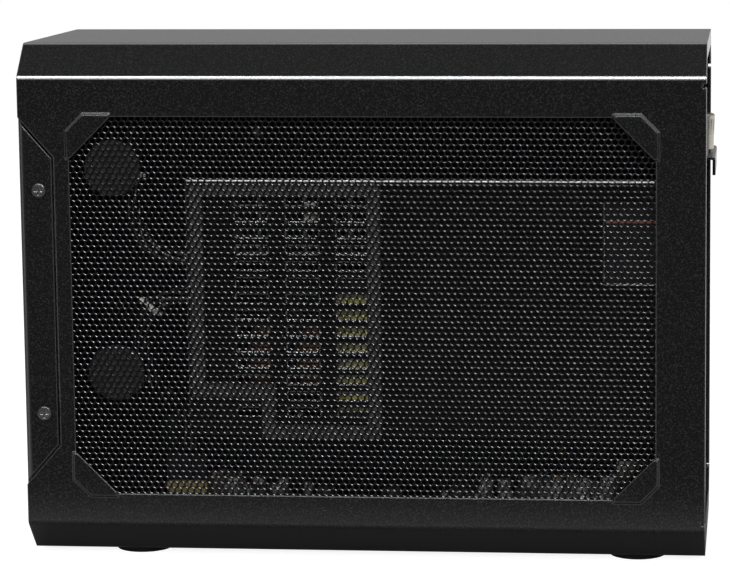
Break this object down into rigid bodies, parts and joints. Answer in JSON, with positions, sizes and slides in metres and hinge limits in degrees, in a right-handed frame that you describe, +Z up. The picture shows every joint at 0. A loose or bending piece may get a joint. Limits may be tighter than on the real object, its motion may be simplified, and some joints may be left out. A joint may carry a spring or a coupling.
{
  "type": "external graphics card enclosure",
  "caption": "Black folded-steel external graphics card enclosure with honeycomb side windows, recessed rear panel, mains supply and card inside.",
  "frame": {"origin": "on the desk, under the middle of the whole box", "axes": "+X from the front panel to the rear panel, +Y from the supply side to the card side, +Z up"},
  "size_m": [0.2142, 0.096, 0.162],
  "materials": {
    "black_steel": "fine textured powder coat",
    "black_screw": "black oxide",
    "black_rubber": "matt",
    "grey_foam": "open foam",
    "supply_steel": "satin black",
    "nickel": "bright nickel plate",
    "bracket_steel": "zinc plate",
    "circuit_board": "solder mask",
    "black_plastic": "moulded",
    "tan_plastic": "moulded",
    "orange_plastic": "moulded",
    "black_lead": "smooth sleeve",
    "yellow_tape": "polyester tape",
    "ferrite": "ground ferrite",
    "copper": "enamelled wire",
    "aluminium": "mill finish"
  },
  "bodies": {
    "enclosure": {"base_tray": "black_steel", "board_cans": "aluminium", "board_coils": "ferrite", "board_power_lead": "black_lead", "board_power_plug": "black_plastic", "board_power_socket": "tan_plastic", "board_screws": "nickel", "board_standoffs": "aluminium", "card_board": "circuit_board", "card_bracket": "bracket_steel", "card_fan_frame": "black_plastic", "card_heatsink": "aluminium", "card_power_lead": "black_lead", "card_power_plug": "black_plastic", "card_power_socket": "black_plastic", "card_shroud": "black_plastic", "card_side_grille": "black_steel", "card_slot": "black_plastic", "case_screws": "black_screw", "foot_front_far": "black_rubber", "foot_front_near": "black_rubber", "foot_rear_far": "black_rubber", "foot_rear_near": "black_rubber", "front_panel": "black_steel", "gpu_package": "black_plastic", "grille_bumper_lower": "grey_foam", "grille_bumper_upper": "grey_foam", "host_port": "nickel", "lead_grommet": "black_rubber", "link_chip": "black_plastic", "link_heatsink": "aluminium", "main_board": "circuit_board", "mains_inlet": "black_plastic", "mains_pins": "nickel", "mid_plate": "black_steel", "outer_sleeve": "black_steel", "power_side_grille": "black_steel", "psu_board": "circuit_board", "psu_capacitors": "aluminium", "psu_case": "supply_steel", "psu_chokes": "copper", "psu_cover": "supply_steel", "psu_fan_frame": "black_plastic", "psu_heatsink": "aluminium", "psu_screws": "nickel", "psu_vent_gasket": "grey_foam", "rear_panel": "black_steel", "transformer_core": "ferrite", "transformer_winding": "yellow_tape", "usb_stack_1": "nickel", "usb_stack_2": "nickel", "usb_tongues_1": "orange_plastic", "usb_tongues_2": "orange_plastic", "video_port_1": "nickel", "video_port_2": "nickel", "video_port_3": "nickel", "video_port_4": "nickel"},
    "card_fan": {"card_fan_rotor": "black_plastic"},
    "psu_fan": {"psu_fan_rotor": "black_plastic"},
    "thumbscrew": {"bracket_thumbscrew": "nickel"}
  },
  "joints": [
    {"name": "card_fan_spin", "type": "hinge", "parent": "enclosure", "child": "card_fan", "pos_m": [0.01172, 0.0405, 0.07325], "axis": [0, 1, 0], "continuous": true},
    {"name": "psu_fan_spin", "type": "hinge", "parent": "enclosure", "child": "psu_fan", "pos_m": [0.0931, -0.02205, 0.1007], "axis": [1, 0, 0], "continuous": true},
    {"name": "thumbscrew_turn", "type": "hinge", "parent": "enclosure", "child": "thumbscrew", "pos_m": [0.1024, 0.0197, 0.12416], "axis": [0, 0, 1], "continuous": true}
  ]
}
